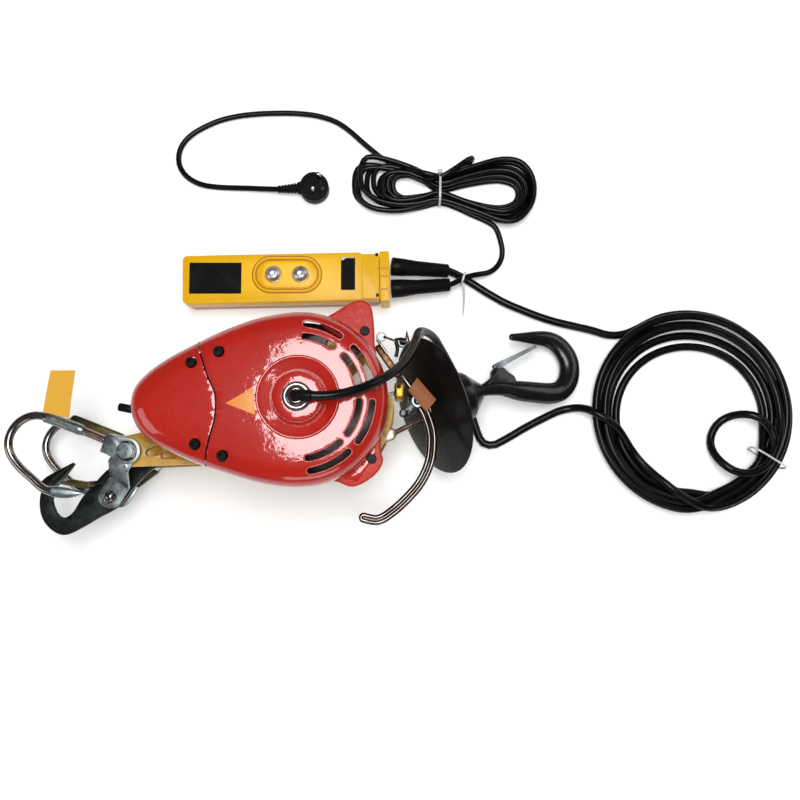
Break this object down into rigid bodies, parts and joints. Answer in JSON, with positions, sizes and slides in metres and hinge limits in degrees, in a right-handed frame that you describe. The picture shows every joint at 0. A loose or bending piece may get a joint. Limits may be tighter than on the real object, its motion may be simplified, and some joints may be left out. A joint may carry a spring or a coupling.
{
  "type": "electric wire rope hoist",
  "caption": "Electric wire rope hoist lying on its back, with a hanger, load hook, limit lever, wired pendant and coiled cables.",
  "frame": {"origin": "on the flat back face of the gear case cover, where the axis of the motor and drum meets it", "axes": "+X from the drum axis towards the load hook, +Z out through the round red cover, +Y towards the pendant"},
  "size_m": [0.9408, 0.545, 0.2408],
  "materials": {
    "red_paint": "gloss red stove enamel",
    "yellow_casting": "satin yellow paint over an aluminium casting",
    "yellow_plastic": "gloss moulded yellow plastic",
    "black_rubber": "satin black rubber",
    "black_paint": "gloss black paint",
    "zinc_plate": "bright zinc plate",
    "chrome": "bright plated",
    "dark_steel": "dark phosphated steel",
    "bronze": "dull bronze",
    "brass": "yellow passivated plate",
    "copper": "varnished windings",
    "wire": "galvanised wire strands"
  },
  "bodies": {
    "hoist": {"front_frame": "yellow_casting", "back_frame": "yellow_casting", "gear_case_cover": "yellow_casting", "motor_stator": "copper", "front_bearing": "chrome", "main_cover": "red_paint", "nose_cover": "red_paint", "cover_screw_1": "black_paint", "cover_screw_2": "black_paint", "cover_screw_3": "black_paint", "cover_screw_4": "black_paint", "ear_screw_1": "black_paint", "ear_screw_2": "black_paint", "nose_stud": "black_rubber", "gland_body": "chrome", "gland_nut": "chrome", "cable_elbow": "black_rubber", "hanger_spacer": "zinc_plate", "wire_rope": "wire", "limit_disc": "black_rubber", "hook_block": "black_paint", "lever_bracket": "black_paint", "rope_guide": "brass", "lever_rod": "zinc_plate", "guide_arm": "bronze", "pendant_case": "yellow_plastic", "pendant_face": "yellow_plastic", "switch_block": "black_paint", "pendant_end_cap": "yellow_plastic", "mains_sleeve": "black_rubber", "control_sleeve": "black_rubber", "mains_lead": "black_rubber", "mains_tail": "black_rubber", "control_lead": "black_rubber", "control_tail": "black_rubber", "mains_hank": "black_rubber", "control_coil": "black_rubber", "plug": "black_rubber"},
    "hanger": {"hanger_clevis": "zinc_plate", "hanger_bolt": "zinc_plate", "hanger_nut": "zinc_plate", "hoop_front": "chrome", "hoop_rear": "chrome", "link_front": "zinc_plate", "link_rear": "zinc_plate", "link_rivet": "zinc_plate"},
    "latch": {"latch_hook": "dark_steel"},
    "gate": {"gate_leaf": "brass"},
    "lever": {"limit_lever": "chrome", "lever_hub": "zinc_plate"},
    "swivel_hook": {"load_hook": "black_paint"},
    "hook_gate": {"hook_latch": "zinc_plate"},
    "up_button": {"button_up": "chrome"},
    "down_button": {"button_down": "chrome"},
    "drum_group": {"drum": "dark_steel", "wound_rope": "wire", "drum_gear": "dark_steel"},
    "counter_group": {"counter_gear": "dark_steel"},
    "rotor_group": {"rotor": "chrome", "cooling_fan": "black_paint"}
  },
  "joints": [
    {"name": "hanger_swing", "type": "hinge", "parent": "hoist", "child": "hanger", "pos_m": [-0.193, -0.055, 0.084], "axis": [0, 0, 1], "range_deg": [-30, 30]},
    {"name": "latch_hook_swing", "type": "hinge", "parent": "hanger", "child": "latch", "pos_m": [-0.226, -0.106, 0.084], "axis": [0, 0, 1], "range_deg": [-25, 3]},
    {"name": "gate_swing", "type": "hinge", "parent": "latch", "child": "gate", "pos_m": [-0.244, -0.0905, 0.102], "axis": [0, 0, 1], "range_deg": [0, 35], "stiffness_Nm_per_rad": 0.02},
    {"name": "limit_lever_swing", "type": "hinge", "parent": "hoist", "child": "lever", "pos_m": [0.128, 0.004, 0.105], "axis": [0, 0, 1], "range_deg": [-6, 10], "stiffness_Nm_per_rad": 0.6},
    {"name": "hook_turn", "type": "hinge", "parent": "hoist", "child": "swivel_hook", "pos_m": [0.1445, 0, 0.0785], "axis": [0.8913, 0.3069, -0.3338], "continuous": true},
    {"name": "hook_latch_swing", "type": "hinge", "parent": "swivel_hook", "child": "hook_gate", "pos_m": [0.22786, 0.05324, 0.04445], "axis": [0.3156, 0.1087, 0.9426], "range_deg": [-30, 0], "stiffness_Nm_per_rad": 0.02},
    {"name": "button_up_press", "type": "slide", "parent": "hoist", "child": "up_button", "axis": [0, 0, -1], "range_m": [0, 0.004], "stiffness_N_per_m": 300},
    {"name": "button_down_press", "type": "slide", "parent": "hoist", "child": "down_button", "axis": [0, 0, -1], "range_m": [0, 0.004], "stiffness_N_per_m": 300},
    {"name": "drum_turn", "type": "hinge", "parent": "hoist", "child": "drum_group", "pos_m": [0, 0, 0.084], "axis": [0, 0, 1], "continuous": true},
    {"name": "counter_turn", "type": "hinge", "parent": "hoist", "child": "counter_group", "pos_m": [-0.0448, 0, 0.015], "axis": [0, 0, 1], "continuous": true},
    {"name": "rotor_turn", "type": "hinge", "parent": "hoist", "child": "rotor_group", "pos_m": [0, 0, 0.09], "axis": [0, 0, 1], "continuous": true}
  ],
  "couplings": [
    {"joint": "counter_turn", "follows": "drum_turn", "ratio": -3},
    {"joint": "rotor_turn", "follows": "drum_turn", "ratio": 9}
  ]
}
